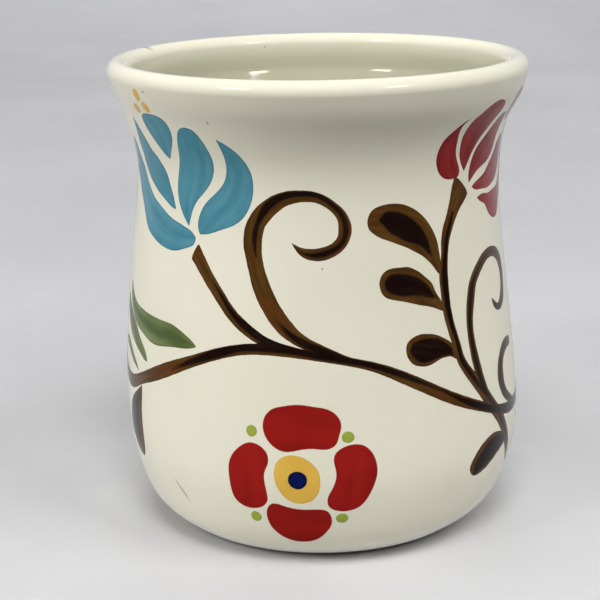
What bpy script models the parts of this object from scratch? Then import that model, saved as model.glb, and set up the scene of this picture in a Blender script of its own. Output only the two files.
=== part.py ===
"""Hand-thrown stoneware mug with brush-painted flowers.

The mug stands on its foot at z = 0 with the axis of the cup on the Z axis. The handle is at +Y
and the painted front faces -Y. Lengths are millimetres until a vertex is written, in metres.
"""
import math

import bmesh
import bpy
import numpy as np

MM = 0.001                  # metres in a millimetre

# Driving dimensions of the thrown cup, mm.
HEIGHT = 105.0              # foot to the top of the lip
LIP_TUBE = 2.5              # radius of the rolled lip's section
LIP_CENTRE = 43.9           # radius of the circle through the middle of the lip
WALL = 4.2                  # wall thickness
FLOOR_TOP = 7.6             # height of the inside floor
FLOOR_FILLET = 9.0          # radius where the inside floor turns up into the wall
FOOT_OUTER = 33.0           # the flat foot ring that the mug stands on
FOOT_INNER = 27.0
FOOT_BEVEL = 0.6
RECESS = 2.0                # depth of the hollow inside the foot ring

# The outside of the wall as (radius, height): rounded base, belly, slow waist, flared neck.
WALL_STATIONS = [
    (33.4, 0.3), (37.3, 3.3), (40.4, 6.7), (42.7, 12.0), (44.5, 19.5), (44.9, 28.5), (44.4, 39.0),
    (43.0, 53.5), (41.5, 67.0), (40.5, 78.5), (40.8, 87.0), (42.6, 93.3), (45.5, 99.9),
]
WALL_STEP = 3.0             # height between the rings of the outside wall

# The pulled handle: its path as (y, z), with its width across and its thickness at each point.
HANDLE_PATH = [
    (44.4, 80.0, 15.5, 9.4), (53.0, 83.6, 15.0, 8.6), (62.5, 83.0, 14.6, 8.0), (70.0, 76.0, 14.2, 7.6),
    (73.2, 64.0, 13.8, 7.4), (71.5, 51.0, 13.4, 7.2), (65.5, 39.5, 13.0, 7.2), (57.5, 31.5, 12.8, 7.4),
    (49.0, 27.0, 12.6, 8.0),
]
JOINT_UPPER = (80.0, 10.6, 8.0)     # luting collar: height on the wall, half width, half height
JOINT_LOWER = (26.0, 9.4, 7.4)
COLLAR_IN = 0.72            # the collar's hollow flank: this share of the way in to the handle
COLLAR_OUT = 0.45           # at this share of the way out from the wall
GAP = 0.3                   # clearance between neighbouring pieces of clay

# The paint: a coat on the wall, drawn at a small clearance from it.
PAINT_GAP = 0.15
PAINT_COAT = 0.25
UNROLL_RADIUS = 43.0        # a stroke's x is this radius times its angle round the cup
BRUSH_STEP = 3.0            # distance between the rows of a stroke
BRUSH_CELL = 3.2            # widest cell across a stroke
POINTED = 0.35              # width left at a pointed end
ROUND_END = 1.0             # an end wider than this is rounded off

SEGMENTS = 60               # round the cup
LIP_STEPS = 8
FILLET_STEPS = 4
INNER_STEP = 7.0            # height between the rings of the inside wall
HANDLE_ROWS = 26
HANDLE_SIDES = 16

COLOURS = {                 # linear red, green, blue and roughness
    "cream_glaze": (0.78, 0.74, 0.60, 0.12),
    "paint_blue": (0.055, 0.20, 0.31, 0.15),
    "paint_red": (0.25, 0.012, 0.010, 0.15),
    "paint_brown": (0.055, 0.020, 0.006, 0.15),
    "paint_green": (0.10, 0.14, 0.035, 0.15),
    "paint_lime": (0.28, 0.36, 0.06, 0.15),
    "paint_yellow": (0.68, 0.40, 0.07, 0.15),
    "paint_navy": (0.004, 0.008, 0.06, 0.15),
}

# Each stroke: name, paint, then the brush's path as (x, height, width). x is the distance round the
# wall from the middle of the front, to the right when positive.
FRONT_STROKES = [
    ("blue_petal_low", "paint_blue", [
        (-56, 88.5, 0), (-54.3, 84, 3), (-51, 80.3, 5), (-47, 76.8, 7), (-42.5, 73.8, 7.6),
        (-38, 71.6, 7.2), (-34, 70.2, 6), (-30.6, 70, 3.4)]),
    ("blue_petal_thin", "paint_blue", [
        (-51, 94, 0), (-49.2, 90.3, 3.2), (-46.6, 86.8, 4.2), (-43.2, 83.4, 4.4), (-39.8, 80.1, 3.4),
        (-37.6, 77.6, 1.8), (-36.4, 76, 0)]),
    ("blue_petal_bud", "paint_blue", [
        (-41.5, 95.4, 5.6), (-40, 94, 7.2), (-38.4, 92, 7.8), (-37.7, 89.6, 4.8), (-37.6, 87, 0)]),
    ("blue_petal_middle", "paint_blue", [
        (-29.4, 94.2, 5), (-29, 91.4, 7.4), (-28.8, 88.3, 9.8), (-29.1, 84.9, 10.4), (-29.8, 81.9, 9.2),
        (-30.7, 79.1, 6.6), (-31.2, 76.7, 3.6), (-31.2, 74, 0)]),
    ("blue_petal_right", "paint_blue", [
        (-22.4, 92.8, 0), (-20.9, 91, 1.8), (-19.2, 88.6, 3.8), (-18.3, 85.9, 5.6), (-18.9, 82.7, 7.6),
        (-20.9, 79.4, 8.2), (-23.7, 76.3, 6.8), (-26.4, 73.9, 4), (-28.4, 72.4, 1.6)]),
    ("yellow_dash_1", "paint_yellow", [(-42.2, 101.4, 1.4), (-41.2, 99.5, 1.5)]),
    ("yellow_dash_2", "paint_yellow", [(-43.6, 98.2, 1.6), (-42.6, 96.8, 1.6)]),
    ("yellow_dash_3", "paint_yellow", [(-39.9, 99.1, 1.8), (-38.6, 97.2, 1.8)]),
    ("red_petal_1", "paint_red", [
        (33.5, 95.2, 0), (31.6, 93, 2.3), (30.2, 90.7, 4), (29.5, 88.3, 5.2), (29.7, 85.8, 5.6),
        (30.4, 82.6, 4.8)]),
    ("red_petal_2", "paint_red", [
        (43.4, 98, 1), (41.2, 95.8, 4), (39.2, 93.4, 5.2), (37.4, 90.6, 5.4), (36.1, 87.6, 4.6),
        (35.6, 85.2, 2.6), (35.7, 83.4, 0)]),
    ("red_petal_3", "paint_red", [
        (50.2, 94, 0), (48, 90.8, 3.4), (45, 88, 4.4), (42.1, 85.5, 4.4), (39.8, 83.3, 2.8),
        (38.1, 81.2, 0)]),
    ("red_petal_4", "paint_red", [
        (55.4, 88, 0), (53.2, 85, 3.6), (50, 82.6, 4.6), (46.4, 80.7, 4.4), (42.8, 79.6, 2.8),
        (40.2, 79.2, 1.1)]),
    ("red_petal_5", "paint_red", [
        (60.5, 99, 0), (57.4, 97.2, 3), (54.6, 95.2, 3.2), (52.2, 92.8, 0)]),
    ("red_petal_6", "paint_red", [
        (41.4, 76.7, 1.1), (44.6, 75.7, 3.2), (48.6, 75.2, 5), (52.6, 76, 6.2), (56, 78.8, 6),
        (58, 82.6, 4.6), (59, 87, 2.2), (59.4, 91, 0)]),
    ("red_stem", "paint_brown", [
        (35.2, 80, 3.6), (33.2, 77.4, 3.2), (30.9, 73.8, 2.5), (28.8, 68.6, 2.4), (27.8, 63, 2.4),
        (28, 56.5, 2.5), (29.6, 50.8, 2.6), (31.6, 46, 2.6), (34.3, 41, 2.6), (37, 37, 2.6),
        (38.9, 34.7, 2.2)]),
    ("stem_tail", "paint_brown", [(47, 26.2, 2.4), (48.6, 22.2, 2.4), (50.4, 18, 1.9), (51.6, 14.7, 0)]),
    ("vine", "paint_brown", [
        (-58, 34.4, 3), (-49, 36.6, 2.7), (-42, 39.3, 3), (-35.5, 42.4, 3.1), (-29, 45.3, 2.7),
        (-22.5, 47.7, 2.5), (-14, 49.6, 2.4), (-5, 49.2, 2.2), (4.3, 47.5, 2), (12.5, 44.9, 2.4),
        (21, 40.5, 2.7), (31.7, 34.6, 2.7), (40, 31, 2.4), (48, 28.6, 2.6), (57, 28.3, 3),
        (66, 30.8, 2.8), (74, 36.2, 2.6), (80, 43.6, 2.2), (83.4, 51.5, 1.8), (84.6, 58, 1.2)]),
    ("blue_stem", "paint_brown", [
        (-29.8, 68.6, 3.2), (-27.8, 66.4, 3.1), (-25.4, 63.6, 2.9), (-21.8, 59.4, 2.6), (-18, 55.8, 2.2),
        (-14.8, 53.6, 1.2)]),
    ("scroll_middle", "paint_brown", [
        (-2.6, 51.6, 1.1), (-5, 52.9, 2.2), (-8, 55.2, 3.2), (-10.8, 58.6, 3.7), (-13.4, 63.6, 3.9),
        (-14.8, 69, 4), (-14.6, 74.2, 4.2), (-12.4, 77.9, 3.9), (-8.4, 80.6, 3.1), (-4, 81.4, 2.6),
        (0, 80.7, 2.3), (3.2, 78.6, 2.4), (5, 75, 2.8), (4, 71.6, 2.8), (.8, 69.6, 2.8),
        (-3.2, 69.6, 2.1), (-6.4, 71.8, 0)]),
    ("brown_leaf_upper", "paint_brown", [
        (9.8, 75.4, 4.4), (13.2, 75.8, 6.4), (16.6, 74.8, 7.3), (19.6, 73, 7), (22.4, 70.4, 5.2),
        (24.4, 67.6, 2.8), (25.7, 64.9, 0)]),
    ("brown_leaf_middle", "paint_brown", [
        (12, 62.2, 4.6), (15, 62.4, 5.9), (18.2, 61.6, 6.5), (21.2, 60, 5.2), (23.6, 58.2, 3),
        (25.6, 56.4, 0)]),
    ("brown_leaf_lower", "paint_brown", [
        (17.4, 48.2, 5), (19.8, 48, 6.4), (22.6, 47.6, 6.8), (25.6, 47, 4.8), (27.6, 46.6, 2.6),
        (29.2, 46.2, 0)]),
    ("brown_leaf_right", "paint_brown", [
        (34.9, 16.8, 2.6), (37.2, 19.4, 4.6), (40.4, 21.2, 5), (43.4, 22, 3.6), (46.2, 22.4, 0)]),
    ("brown_leaf_left", "paint_brown", [
        (-47.6, 34.2, 0), (-50.4, 31.2, 3.4), (-51.8, 27.6, 4.8), (-51.8, 23.8, 4.6), (-50.2, 20.6, 2.8),
        (-48.6, 18, 0)]),
    ("scroll_right", "paint_brown", [
        (36.3, 43, 1.5), (35.4, 47.6, 2.2), (35.3, 52, 2.4), (36.4, 56.8, 2.7), (39.4, 61.4, 2.7),
        (43.8, 63.9, 2.5), (48.6, 63.7, 2.6), (52.2, 61, 3), (53.2, 57, 2.9), (51.4, 53.2, 2.4),
        (48, 51.8, 1.7), (45.4, 54, 0)]),
    ("scroll_far", "paint_brown", [
        (58.6, 44, 0), (54.6, 43.7, 2), (50, 42.2, 2.8), (47.3, 39.6, 2.9), (46.6, 36.4, 2.9),
        (47.8, 33.4, 2.2), (49.8, 31.6, 1)]),
    ("green_leaf_upper", "paint_green", [
        (-58, 55.6, 0), (-53.6, 52.6, 2.6), (-49.6, 50.8, 4.4), (-44.6, 49.4, 5.4), (-39.6, 49.1, 5.6),
        (-35.6, 49, 4.8), (-32, 48.8, 3), (-28.6, 48.2, 0)]),
    ("green_leaf_middle", "paint_green", [
        (-60.6, 51.4, 0), (-56.6, 48.2, 3.4), (-52.3, 45.8, 3.8), (-48.6, 43.7, 2.4), (-44.8, 41.6, 0)]),
    ("green_leaf_lower", "paint_green", [
        (-61, 43.9, 0), (-57, 41.8, 2.2), (-52.8, 40.1, 1.8), (-49.6, 39, 0)]),
    ("rosette_petal_top", "paint_red", [
        (-12.4, 33.3, 7.6), (-9, 33.1, 9), (-5.6, 33.7, 9.6), (-1.6, 33.6, 9), (2.4, 33.2, 7.6)]),
    ("rosette_petal_left", "paint_red", [
        (-15.4, 29, 7), (-15.5, 26, 7.8), (-16.1, 22.4, 8.1), (-15.9, 18.6, 8), (-14.7, 15.2, 6.2)]),
    ("rosette_petal_bottom", "paint_red", [
        (-12, 13.4, 4.6), (-10, 12.2, 7.2), (-6.4, 11, 8.6), (-2.4, 11.1, 7.8), (.8, 12.2, 5.2)]),
    ("rosette_petal_right", "paint_red", [
        (5.6, 29.5, 6.4), (6.2, 26.2, 8), (6.2, 22.6, 8.3), (5.2, 19.2, 8), (3.6, 16.9, 6)]),
]
ROSETTE_CENTRE = (-5.6, 22.1)       # the yellow disc and the dark dot in it
DISC_RADIUS = 5.0
DOT_RADIUS = 2.1
GREEN_DOT_RADIUS = 1.25
GREEN_DOTS = [(-15.2, 32.8), (-15.9, 11.9), (4.9, 31.9), (3.5, 12.4)]

BACK_STROKES = [
    ("back_leaf_1", "paint_green", [
        (69, 41, 0), (68.6, 45, 3.6), (69.4, 49.4, 4.6), (71.6, 53.6, 3.6), (74.4, 57, 0)]),
    ("back_leaf_2", "paint_green", [
        (86.6, 44.6, 0), (90.6, 44.8, 3.4), (94.8, 46.6, 4.4), (98.4, 50, 3.2), (101, 54, 0)]),
    ("back_leaf_3", "paint_brown", [(74, 31.4, 0), (78.6, 29.6, 4), (83.4, 29.6, 4.6), (88, 31.6, 3)]),
    ("back_petal_1", "paint_blue", [
        (83.2, 62.2, 1.4), (79, 64.4, 5), (75.4, 68.8, 5.8), (73.6, 74.6, 4.2), (73.4, 80, 0)]),
    ("back_petal_2", "paint_blue", [
        (85.2, 63, 1.2), (84, 68.4, 6), (83.2, 74, 7), (84, 79.4, 4.8), (85.6, 84, 0)]),
    ("back_petal_3", "paint_blue", [
        (87.6, 61.8, 1.4), (91.8, 64, 5), (95.2, 68.6, 5.8), (96.8, 74.4, 4.2), (96.8, 79.8, 0)]),
    ("back_vine", "paint_brown", [
        (-61.4, 35.4, 2), (-68, 38.8, 2.8), (-75, 44, 2.8), (-80.6, 50.8, 2.7), (-84.4, 58.4, 2.6),
        (-89.8, 64.4, 2.5), (-97.2, 65.4, 2.4), (-102, 60.6, 2.4), (-100.4, 54.4, 2.2),
        (-95, 53.4, 1.5), (-92.8, 56.4, 0)]),
    ("back_leaf_4", "paint_brown", [
        (-76.6, 56.6, 0), (-73.4, 59.6, 4), (-71.4, 63.4, 5.4), (-71, 67.6, 4.4)]),
    ("back_leaf_5", "paint_brown", [
        (-82.6, 48.4, 0), (-86.2, 46.4, 4), (-90.2, 45.4, 5.4), (-94.4, 46, 4.4)]),
    ("back_petal_4", "paint_red", [
        (-84.4, 68.4, 1.2), (-80.6, 72.4, 5), (-78.2, 77.6, 5.6), (-78.2, 83, 3.6), (-79.6, 87.6, 0)]),
    ("back_petal_5", "paint_red", [
        (-87, 69.4, 1.2), (-87.6, 75, 5.6), (-87.4, 81, 5.8), (-86.4, 87, 0)]),
    ("back_petal_6", "paint_red", [
        (-89.8, 68.6, 1.2), (-94, 72, 5), (-96.6, 76.8, 5.6), (-96.6, 82.2, 3.6), (-95, 87, 0)]),
]


# ---------------------------------------------------------------- curves

def smooth_curve(points, per_span=12):
    """A Catmull-Rom curve through the points, as an array of rows."""
    given = np.array(points, dtype=float)
    ends = (2 * given[0] - given[1], 2 * given[-1] - given[-2])
    knots = np.vstack([ends[0], given, ends[1]])
    rows = []
    for index in range(1, len(knots) - 2):
        before, here, there, after = knots[index - 1:index + 3]
        for step in range(per_span):
            t = step / per_span
            cubic = -before + 3 * here - 3 * there + after
            square = 2 * before - 5 * here + 4 * there - after
            rows.append(here + 0.5 * t * ((there - before) + t * (square + t * cubic)))
    rows.append(given[-1])
    return np.array(rows)


def arc(centre, radius, start, stop, steps):
    """Points on a circular arc in the (radius, height) plane, angles in degrees."""
    points = []
    for angle in np.linspace(math.radians(start), math.radians(stop), steps + 1):
        points.append((centre[0] + radius * math.cos(angle), centre[1] + radius * math.sin(angle)))
    return points


def outer_wall():
    """(radius, height) rows up the outside of the wall, from the foot to under the lip."""
    curve = smooth_curve(WALL_STATIONS)
    heights = curve[:, 1]
    low = [0.3, 1.1, 2.2, 3.5, 5.0, 6.9, 9.2]
    rest = np.linspace(low[-1], heights[-1], round((heights[-1] - low[-1]) / WALL_STEP) + 1)[1:]
    rows = np.concatenate([low, rest])
    return np.column_stack([np.interp(rows, heights, curve[:, 0]), rows])


OUTER = outer_wall()
LIP = arc((LIP_CENTRE, HEIGHT - LIP_TUBE), LIP_TUBE, -30, 210, LIP_STEPS)
SKIN = np.vstack([OUTER, LIP[:LIP_STEPS // 2]])     # the outside as far as the lip's outer half


def wall_point(height):
    """Radius of the outside wall at a height, with its outward normal (radial, up)."""
    radius, above, below = np.interp((height, height + 1.0, height - 1.0), SKIN[:, 1], SKIN[:, 0])
    slope = 0.5 * (above - below)
    length = math.hypot(1.0, slope)
    return radius, 1.0 / length, -slope / length


def on_wall(x, height, offset):
    """A point at an offset from the outside wall, x being the distance round from the front."""
    radius, out, up = wall_point(height)
    angle = x / UNROLL_RADIUS
    reach = radius + offset * out
    return (reach * math.sin(angle), -reach * math.cos(angle), height + offset * up)


# ---------------------------------------------------------------- meshes

def material(name):
    red, green, blue, roughness = COLOURS[name]
    found = bpy.data.materials.get(name)
    if found:
        return found
    made = bpy.data.materials.new(name)
    made.use_nodes = True
    shader = made.node_tree.nodes["Principled BSDF"]
    shader.inputs["Base Color"].default_value = (red, green, blue, 1.0)
    shader.inputs["Roughness"].default_value = roughness
    shader.inputs["Metallic"].default_value = 0.0
    made.diffuse_color = (red, green, blue, 1.0)
    return made


def add_piece(name, vertices, faces, paint):
    """One named object from vertices in millimetres, closed and facing outward."""
    mesh = bpy.data.meshes.new(name)
    mesh.from_pydata([tuple(c * MM for c in vertex) for vertex in vertices], [], faces)
    work = bmesh.new()
    work.from_mesh(mesh)
    bmesh.ops.recalc_face_normals(work, faces=work.faces)
    work.to_mesh(mesh)
    work.free()
    mesh.shade_smooth()
    mesh.set_sharp_from_angle(angle=math.radians(40))
    mesh.materials.append(material(paint))
    piece = bpy.data.objects.new(name, mesh)
    bpy.context.scene.collection.objects.link(piece)
    return piece


def turned(name, profile, paint):
    """A turned solid. The profile runs from the axis to the axis; the ends are its two poles."""
    vertices = [(0.0, 0.0, profile[0][1])]
    for radius, height in profile[1:-1]:
        for step in range(SEGMENTS):
            angle = 2 * math.pi * step / SEGMENTS
            vertices.append((radius * math.sin(angle), -radius * math.cos(angle), height))
    vertices.append((0.0, 0.0, profile[-1][1]))
    rings = len(profile) - 2
    last = len(vertices) - 1
    faces = []
    for step in range(SEGMENTS):
        following = (step + 1) % SEGMENTS
        faces.append((0, 1 + step, 1 + following))
        top = 1 + (rings - 1) * SEGMENTS
        faces.append((last, top + following, top + step))
        for ring in range(rings - 1):
            here = 1 + ring * SEGMENTS
            there = here + SEGMENTS
            faces.append((here + step, there + step, there + following, here + following))
    return add_piece(name, vertices, faces, paint)


def loft(name, rings, paint):
    """A closed solid through rings of equal length; a ring of one point closes an end."""
    vertices = []
    starts = []
    for ring in rings:
        starts.append(len(vertices))
        vertices.extend(ring)
    faces = []
    for index in range(len(rings) - 1):
        low = starts[index]
        high = starts[index + 1]
        count = max(len(rings[index]), len(rings[index + 1]))
        for step in range(count):
            following = (step + 1) % count
            if len(rings[index]) == 1:
                faces.append((low, high + following, high + step))
            elif len(rings[index + 1]) == 1:
                faces.append((low + step, low + following, high))
            else:
                faces.append((low + step, low + following, high + following, high + step))
    return add_piece(name, vertices, faces, paint)


# ---------------------------------------------------------------- the clay

def cup_profile():
    """Half section of the cup: up the outside, over the lip, down the inside, closed at the axis."""
    underside = [(0.0, RECESS), (FOOT_INNER - RECESS, RECESS), (FOOT_INNER, 0.0)]
    underside.append((FOOT_OUTER - FOOT_BEVEL, 0.0))
    corner_radius = np.interp(FLOOR_TOP + FLOOR_FILLET, OUTER[:, 1], OUTER[:, 0]) - WALL
    heights = np.linspace(HEIGHT - 6.5, FLOOR_TOP + FLOOR_FILLET, round(HEIGHT / INNER_STEP))
    inner = [(np.interp(height, OUTER[:, 1], OUTER[:, 0]) - WALL, height) for height in heights]
    centre = (corner_radius - FLOOR_FILLET, FLOOR_TOP + FLOOR_FILLET)
    corner = arc(centre, FLOOR_FILLET, 0, -90, FILLET_STEPS)
    floor = [(14.0, FLOOR_TOP), (0.0, FLOOR_TOP)]
    return underside + [tuple(row) for row in OUTER] + LIP + inner + corner[1:] + floor


def handle_ring(y, z, width, thickness, heading, shift=0.0):
    """An oval section of the handle square to its heading, slid along the heading by shift."""
    ring = []
    for step in range(HANDLE_SIDES):
        angle = 2 * math.pi * step / HANDLE_SIDES
        across = 0.5 * width * math.cos(angle)
        lift = 0.5 * thickness * math.sin(angle)
        ring.append((
            across,
            y - lift * math.sin(heading) + shift * math.cos(heading),
            z + lift * math.cos(heading) + shift * math.sin(heading)))
    return ring


def handle_sections():
    """Evenly spaced sections along the handle's path: (y, z, width, thickness, heading)."""
    curve = smooth_curve(HANDLE_PATH)
    travel = np.concatenate([[0.0], np.cumsum(np.hypot(*np.diff(curve[:, :2], axis=0).T))])
    stops = np.linspace(0.0, travel[-1], HANDLE_ROWS)
    rows = np.column_stack([np.interp(stops, travel, curve[:, column]) for column in range(4)])
    headings = np.arctan2(np.gradient(rows[:, 1]), np.gradient(rows[:, 0]))
    return [tuple(row) + (heading,) for row, heading in zip(rows, headings)]


def centre_of(ring):
    return tuple(sum(point[axis] for point in ring) / len(ring) for axis in range(3))


def make_handle(sections):
    rings = [handle_ring(*section) for section in sections]
    loft("handle", [[centre_of(rings[0])]] + rings + [[centre_of(rings[-1])]], "cream_glaze")


def wall_patch(height, half_width, half_height, scale):
    """An oval on the back of the wall, one gap off it; scale 0 gives its middle point."""
    back = UNROLL_RADIUS * math.pi
    radius = wall_point(height)[0]
    if scale == 0:
        return [on_wall(back, height, GAP)]
    patch = []
    for step in range(HANDLE_SIDES):
        angle = 2 * math.pi * step / HANDLE_SIDES
        across = scale * half_width * math.cos(angle) * UNROLL_RADIUS / radius
        patch.append(on_wall(back - across, height + scale * half_height * math.sin(angle), GAP))
    return patch


def make_joint(name, wall_seat, section, leaving):
    """The collar of slip and clay that joins the handle to the wall, flared at the wall."""
    height, half_width, half_height = wall_seat
    # leaving is 1 where the handle's path leaves the wall and -1 where it comes back to it, head down
    seat = [wall_patch(height, half_width, leaving * half_height, scale) for scale in (0, 0.35, 0.7, 1)]
    y, z, width, thickness, heading = section
    end = handle_ring(y, z, width, thickness, heading, -GAP * leaving)
    middle = []
    for outer, inner in zip(seat[-1], end):
        middle.append((
            outer[0] + COLLAR_IN * (inner[0] - outer[0]),
            outer[1] + COLLAR_OUT * (inner[1] - outer[1]),
            outer[2] + COLLAR_IN * (inner[2] - outer[2])))
    loft(name, seat + [middle, end, [centre_of(end)]], "cream_glaze")


# ---------------------------------------------------------------- the paint

def brush_rows(path):
    """Rows along a stroke: x, height, half width and the unit vector across the stroke."""
    curve = smooth_curve(path)
    travel = np.concatenate([[0.0], np.cumsum(np.hypot(*np.diff(curve[:, :2], axis=0).T))])
    length = travel[-1]
    first = 0.5 * path[0][2] if path[0][2] >= ROUND_END else 0.0
    last = 0.5 * path[-1][2] if path[-1][2] >= ROUND_END else 0.0
    stops = set(np.linspace(first, length - last, max(2, math.ceil(length / BRUSH_STEP))))
    for share in (0.0, 0.12, 0.45):
        stops.update((share * first, length - share * last))
    stops = np.array(sorted(stops))
    stops = stops[np.concatenate([[True], np.diff(stops) > 0.02])]
    x, height, width = (np.interp(stops, travel, curve[:, column]) for column in range(3))
    half = np.maximum(0.5 * width, 0.5 * POINTED)
    for reach, distance in ((first, stops), (last, length - stops)):
        if reach:
            inside = np.clip(distance / reach, 0.0, 1.0)
            half = np.maximum(half * np.sqrt(1.0 - (1.0 - inside) ** 2), 0.5 * POINTED)
    along = np.column_stack([np.gradient(x, stops), np.gradient(height, stops)])
    along /= np.hypot(along[:, 0], along[:, 1])[:, None]
    return [(a, b, c, -d[1], d[0]) for a, b, c, d in zip(x, height, half, along)]


def make_stroke(name, paint, path):
    """A thin coat of paint along a brush path, curved with the wall."""
    rows = brush_rows(path)
    cells = max(1, math.ceil(2 * max(row[2] for row in rows) / BRUSH_CELL))
    columns = cells + 1
    vertices = []
    for offset in (PAINT_GAP, PAINT_GAP + PAINT_COAT):
        for x, height, half, side_x, side_z in rows:
            for column in range(columns):
                reach = half * (2 * column / cells - 1)
                vertices.append(on_wall(x + reach * side_x, height + reach * side_z, offset))
    top = len(rows) * columns
    faces = []
    for row in range(len(rows) - 1):
        for column in range(cells):
            corner = row * columns + column
            quad = (corner, corner + 1, corner + 1 + columns, corner + columns)
            faces.append(quad)
            faces.append(tuple(top + index for index in reversed(quad)))
        for edge in (0, cells):
            corner = row * columns + edge
            faces.append((corner, corner + columns, top + corner + columns, top + corner))
    for row in (0, len(rows) - 1):
        for column in range(cells):
            corner = row * columns + column
            faces.append((corner, corner + 1, top + corner + 1, top + corner))
    add_piece(name, vertices, faces, paint)


def circle_on_wall(centre, radius, offset, sides):
    ring = []
    for step in range(sides):
        angle = 2 * math.pi * step / sides
        height = centre[1] + radius * math.sin(angle)
        ring.append(on_wall(centre[0] + radius * math.cos(angle), height, offset))
    return ring


def make_dot(name, paint, centre, radius, sides=12):
    """A round dab of paint."""
    low = PAINT_GAP
    high = PAINT_GAP + PAINT_COAT
    loft(name, [
        [on_wall(*centre, low)],
        circle_on_wall(centre, radius, low, sides),
        circle_on_wall(centre, radius, high, sides),
        [on_wall(*centre, high)]], paint)


def make_disc_ring(name, paint, centre, outer, inner, sides=20):
    """A round dab with a bare round hole, for the dot that fills it."""
    low = PAINT_GAP
    high = PAINT_GAP + PAINT_COAT
    corners = [(inner, low), (outer, low), (outer, high), (inner, high)]
    vertices = []
    for radius, offset in corners:
        vertices.extend(circle_on_wall(centre, radius, offset, sides))
    faces = []
    for index in range(4):
        here = index * sides
        there = ((index + 1) % 4) * sides
        for step in range(sides):
            following = (step + 1) % sides
            faces.append((here + step, here + following, there + following, there + step))
    add_piece(name, vertices, faces, paint)


def build():
    for old in list(bpy.data.objects):
        bpy.data.objects.remove(old, do_unlink=True)
    turned("cup_body", cup_profile(), "cream_glaze")
    sections = handle_sections()
    make_handle(sections)
    make_joint("handle_joint_upper", JOINT_UPPER, sections[0], 1)
    make_joint("handle_joint_lower", JOINT_LOWER, sections[-1], -1)
    for name, paint, path in FRONT_STROKES + BACK_STROKES:
        make_stroke(name, paint, path)
    make_disc_ring("rosette_disc", "paint_yellow", ROSETTE_CENTRE, DISC_RADIUS, DOT_RADIUS + GAP)
    make_dot("rosette_dot", "paint_navy", ROSETTE_CENTRE, DOT_RADIUS)
    for index, centre in enumerate(GREEN_DOTS, start=1):
        make_dot(f"green_dot_{index}", "paint_lime", centre, GREEN_DOT_RADIUS)


build()
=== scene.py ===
"""Looks of the hand-painted stoneware mug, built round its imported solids.

Lengths are millimetres until a vertex is written in metres. The cup's axis is the Z axis, the painted
front faces -Y and the handle is at +Y.
"""

import math

import bpy
import numpy as np
from mathutils import Matrix, Vector


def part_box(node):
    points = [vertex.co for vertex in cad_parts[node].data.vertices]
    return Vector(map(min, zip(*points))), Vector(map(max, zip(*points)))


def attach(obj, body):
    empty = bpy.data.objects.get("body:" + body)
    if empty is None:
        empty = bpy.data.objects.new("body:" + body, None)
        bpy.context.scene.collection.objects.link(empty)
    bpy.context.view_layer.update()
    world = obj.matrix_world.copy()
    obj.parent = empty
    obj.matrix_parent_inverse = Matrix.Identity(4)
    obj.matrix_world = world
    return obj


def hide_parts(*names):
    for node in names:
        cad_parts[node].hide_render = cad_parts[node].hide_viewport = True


MM = 0.001

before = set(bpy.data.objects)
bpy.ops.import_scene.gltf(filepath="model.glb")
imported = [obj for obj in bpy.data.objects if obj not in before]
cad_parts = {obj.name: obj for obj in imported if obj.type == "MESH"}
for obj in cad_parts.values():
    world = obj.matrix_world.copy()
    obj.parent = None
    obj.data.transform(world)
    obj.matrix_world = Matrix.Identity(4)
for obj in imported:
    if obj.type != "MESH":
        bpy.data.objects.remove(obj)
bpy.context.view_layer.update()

# ---------------- dimensions, mm
CUP_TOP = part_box("cup_body")[1]
LIP_TUBE = 2.5  # radius of the rolled lip's section
LIP_CENTRE = CUP_TOP.x / MM - LIP_TUBE
LIP_START = -18  # degrees round the section where the outside wall runs into it
LIP_STEPS = 36
HEIGHT = round(CUP_TOP.z / MM, 3)
WALL = 4.2
FLOOR_TOP = 7.6
FLOOR_FILLET = 9.0
FOOT_OUTER = 33.0
FOOT_INNER = 27.0
RECESS = 2.0
# (radius, height) up the outside, from the foot to the rolled lip
WALL_STATIONS = [
    (33.4, 0.5), (37.3, 3.3), (40.4, 6.7), (42.7, 12), (44.5, 19.5), (44.9, 28.5), (44.4, 39),
    (43, 53.5), (41.5, 67), (40.5, 78.5), (40.95, 87), (42.9, 93.3), (44.15, 96), (45.2, 98.3),
    (45.85, 100.2),
]
# (y, z, width, thickness) down the handle
HANDLE_PATH = [
    (44.4, 80, 15.5, 9.4), (53, 83.6, 15, 8.6), (62.5, 83, 14.6, 8), (70, 76, 14.2, 7.6),
    (73.2, 64, 13.8, 7.4), (71.5, 51, 13.4, 7.2), (65.5, 39.5, 13, 7.2), (57.5, 31.5, 12.8, 7.4),
    (49, 27, 12.6, 8),
]
# where the handle flares out on the wall, top and bottom: height, half width, half height
HANDLE_SEATS = [(78.6, 10.6, 8.0), (25.0, 9.4, 7.6)]
FLARE = 6.0  # length of the handle that each flare takes up
FLARE_STEPS = 15
SEAT_SINK = 0.25
BURIED = 1.2  # how far the handle's closed ends are inside the wall
CHANNEL_DEPTH = 0.55
CHANNEL_WIDTH = 2.6
HANDLE_SIDES = 40
SEGMENTS = 240
SHARP_ANGLE = 40  # degrees; flatter edges are shaded smooth
INSIDE_TOP = 8.0  # how far below the rim the inner wall becomes even
INSIDE_STEP = 0.9
TURNING_LINES = 0.05  # how deep the thrower's fingers marked the inside
FLOOR_RIPPLE = 0.12
UNROLL_RADIUS = 43.0  # a stroke's x is this times its angle round the cup
STROKE_STEP = 0.5
COLUMN = 0.4
PAINT_LIFT = 0.016  # how far a stroke stands proud of the glaze
PAINT_SINK = 0.02  # how far its edge dips under
PAINT_DEPTH = 0.15
PAINT_SHOULDER = 0.15  # how far in from its edge it reaches its full lift
LAYER = 0.003  # each stroke lies this much over the one before
LINE_LAYERS = 14
DAB_LAYERS = 2
DOT_LAYER = 4
CAP = 0.4  # a line's rounded end is this share of its width long
CAP_LEAST = 0.8  # lines that end thinner than this end in a point
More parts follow.
